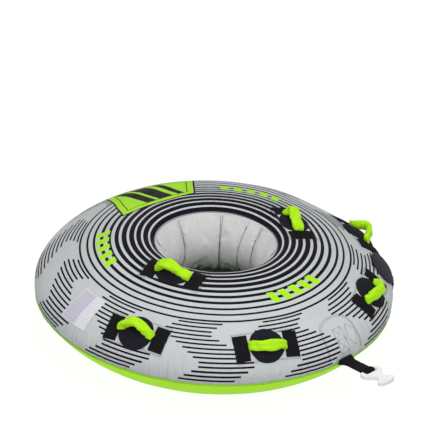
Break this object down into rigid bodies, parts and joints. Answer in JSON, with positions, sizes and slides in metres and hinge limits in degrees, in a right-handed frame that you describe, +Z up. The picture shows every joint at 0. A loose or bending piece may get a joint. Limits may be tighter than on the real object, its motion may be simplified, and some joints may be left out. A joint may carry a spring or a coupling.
{
  "type": "towable tube",
  "caption": "Inflated ring with a seat in its hole, fabric cover, grab handles, a covered valve and a tow strap with a connector, towed behind a boat.",
  "frame": {"origin": "centre of the seat floor's upper face, on the ring's axis", "axes": "+Z up along the ring's axis; the tow point is at -Y; +X is to the right of a rider facing away from the boat"},
  "size_m": [1.362, 1.592, 0.4772],
  "materials": {
    "grey_nylon": "coated woven nylon, satin, printed with dark rings and stripes",
    "green_nylon": "coated woven nylon, satin, neon green",
    "bladder_pvc": "smooth PVC sheet",
    "black_webbing": "woven polyester webbing",
    "black_neoprene": "neoprene with a knitted face",
    "green_padding": "padded knit sleeve, neon green",
    "black_plastic": "moulded, satin",
    "grey_rubber": "moulded valve diaphragm",
    "white_plastic": "moulded nylon, semi-gloss",
    "hook_and_loop": "hook-and-loop tape",
    "zip_tape": "coil zip on woven tape",
    "dark_metal": "black-coated cast metal",
    "label_satin": "woven satin label, blank"
  },
  "bodies": {
    "tube": {"top_cover": "grey_nylon", "bottom_cover": "green_nylon", "hole_wall": "grey_nylon", "seat_floor": "green_nylon", "rim_piping": "green_nylon", "bladder": "bladder_pvc", "valve_body": "black_plastic", "valve_diaphragm": "grey_rubber", "flap_loop_tape": "hook_and_loop", "care_label": "label_satin", "tow_anchor_webbing": "black_webbing", "tow_patch_left": "grey_nylon", "tow_patch_right": "grey_nylon", "zipper_tape": "zip_tape", "bow_left_backing_patch": "grey_nylon", "bow_left_knuckle_pad": "black_neoprene", "bow_left_anchor_left": "black_webbing", "bow_left_anchor_right": "black_webbing", "bow_right_backing_patch": "grey_nylon", "bow_right_knuckle_pad": "black_neoprene", "bow_right_anchor_left": "black_webbing", "bow_right_anchor_right": "black_webbing", "side_left_backing_patch": "grey_nylon", "side_left_knuckle_pad": "black_neoprene", "side_left_anchor_left": "black_webbing", "side_left_anchor_right": "black_webbing", "side_right_backing_patch": "grey_nylon", "side_right_knuckle_pad": "black_neoprene", "side_right_anchor_left": "black_webbing", "side_right_anchor_right": "black_webbing", "inner_left_backing_patch": "grey_nylon", "inner_left_knuckle_pad": "black_neoprene", "inner_left_anchor_left": "black_webbing", "inner_left_anchor_right": "black_webbing", "inner_right_backing_patch": "grey_nylon", "inner_right_knuckle_pad": "black_neoprene", "inner_right_anchor_left": "black_webbing", "inner_right_anchor_right": "black_webbing"},
    "bow_left_grip": {"bow_left_grip_sleeve": "green_padding", "bow_left_grip_webbing": "black_webbing"},
    "bow_right_grip": {"bow_right_grip_sleeve": "green_padding", "bow_right_grip_webbing": "black_webbing"},
    "side_left_grip": {"side_left_grip_sleeve": "green_padding", "side_left_grip_webbing": "black_webbing"},
    "side_right_grip": {"side_right_grip_sleeve": "green_padding", "side_right_grip_webbing": "black_webbing"},
    "inner_left_grip": {"inner_left_grip_sleeve": "green_padding", "inner_left_grip_webbing": "black_webbing"},
    "inner_right_grip": {"inner_right_grip_sleeve": "green_padding", "inner_right_grip_webbing": "black_webbing"},
    "valve_cap": {"valve_cap": "black_plastic"},
    "valve_flap": {"valve_flap": "black_neoprene", "flap_hook_tape": "hook_and_loop"},
    "tow_strap": {"tow_strap": "black_webbing"},
    "tow_connector": {"tow_connector": "white_plastic"},
    "zipper_slider": {"zipper_slider": "dark_metal"},
    "zipper_pull": {"zipper_pull": "dark_metal"}
  },
  "joints": [
    {"name": "bow_left_grip_tilt", "type": "hinge", "parent": "tube", "child": "bow_left_grip", "pos_m": [-0.28975, -0.54051, 0.16393], "axis": [0.8778, -0.4791, 0], "range_deg": [-82, 28]},
    {"name": "bow_right_grip_tilt", "type": "hinge", "parent": "tube", "child": "bow_right_grip", "pos_m": [0.28439, -0.54184, 0.16523], "axis": [0.8809, 0.4733, 0], "range_deg": [-94, 16]},
    {"name": "side_left_grip_tilt", "type": "hinge", "parent": "tube", "child": "side_left_grip", "pos_m": [-0.59554, -0.14309, 0.16523], "axis": [0.2205, -0.9754, 0], "range_deg": [-25, 85]},
    {"name": "side_right_grip_tilt", "type": "hinge", "parent": "tube", "child": "side_right_grip", "pos_m": [0.57242, -0.20834, 0.16716], "axis": [0.342, 0.9397, 0], "range_deg": [-103, 7]},
    {"name": "inner_left_grip_tilt", "type": "hinge", "parent": "tube", "child": "inner_left_grip", "pos_m": [-0.31512, -0.07324, 0.28531], "axis": [0.2324, -0.9726, 0], "range_deg": [-72, 38]},
    {"name": "inner_right_grip_tilt", "type": "hinge", "parent": "tube", "child": "inner_right_grip", "pos_m": [0.30072, -0.11956, 0.28531], "axis": [0.3759, 0.9267, 0], "range_deg": [-62, 48]},
    {"name": "valve_cap_turn", "type": "hinge", "parent": "tube", "child": "valve_cap", "pos_m": [0.48996, -0.41552, 0.13294], "axis": [0.4916, -0.4169, 0.7645], "range_deg": [0, 360]},
    {"name": "valve_flap_open", "type": "hinge", "parent": "tube", "child": "valve_flap", "pos_m": [0.52065, -0.44154, 0.07621], "axis": [0.6468, 0.7627, 0], "range_deg": [0, 120]},
    {"name": "tow_strap_swing", "type": "hinge", "parent": "tube", "child": "tow_strap", "pos_m": [0, -0.701, 0.04], "axis": [1, 0, 0], "range_deg": [-60, 70]},
    {"name": "tow_connector_swing", "type": "hinge", "parent": "tow_strap", "child": "tow_connector", "pos_m": [0, -0.803, 0.04], "axis": [1, 0, 0], "range_deg": [-60, 60]},
    {"name": "zipper_slide", "type": "hinge", "parent": "tube", "child": "zipper_slider", "pos_m": [0, 0, 0], "axis": [0, 0, 1], "range_deg": [0, 50]},
    {"name": "zipper_pull_flip", "type": "hinge", "parent": "zipper_slider", "child": "zipper_pull", "pos_m": [0.23631, 0.50677, -0.08945], "axis": [-0.3615, -0.7753, -0.518], "range_deg": [0, 100]}
  ]
}
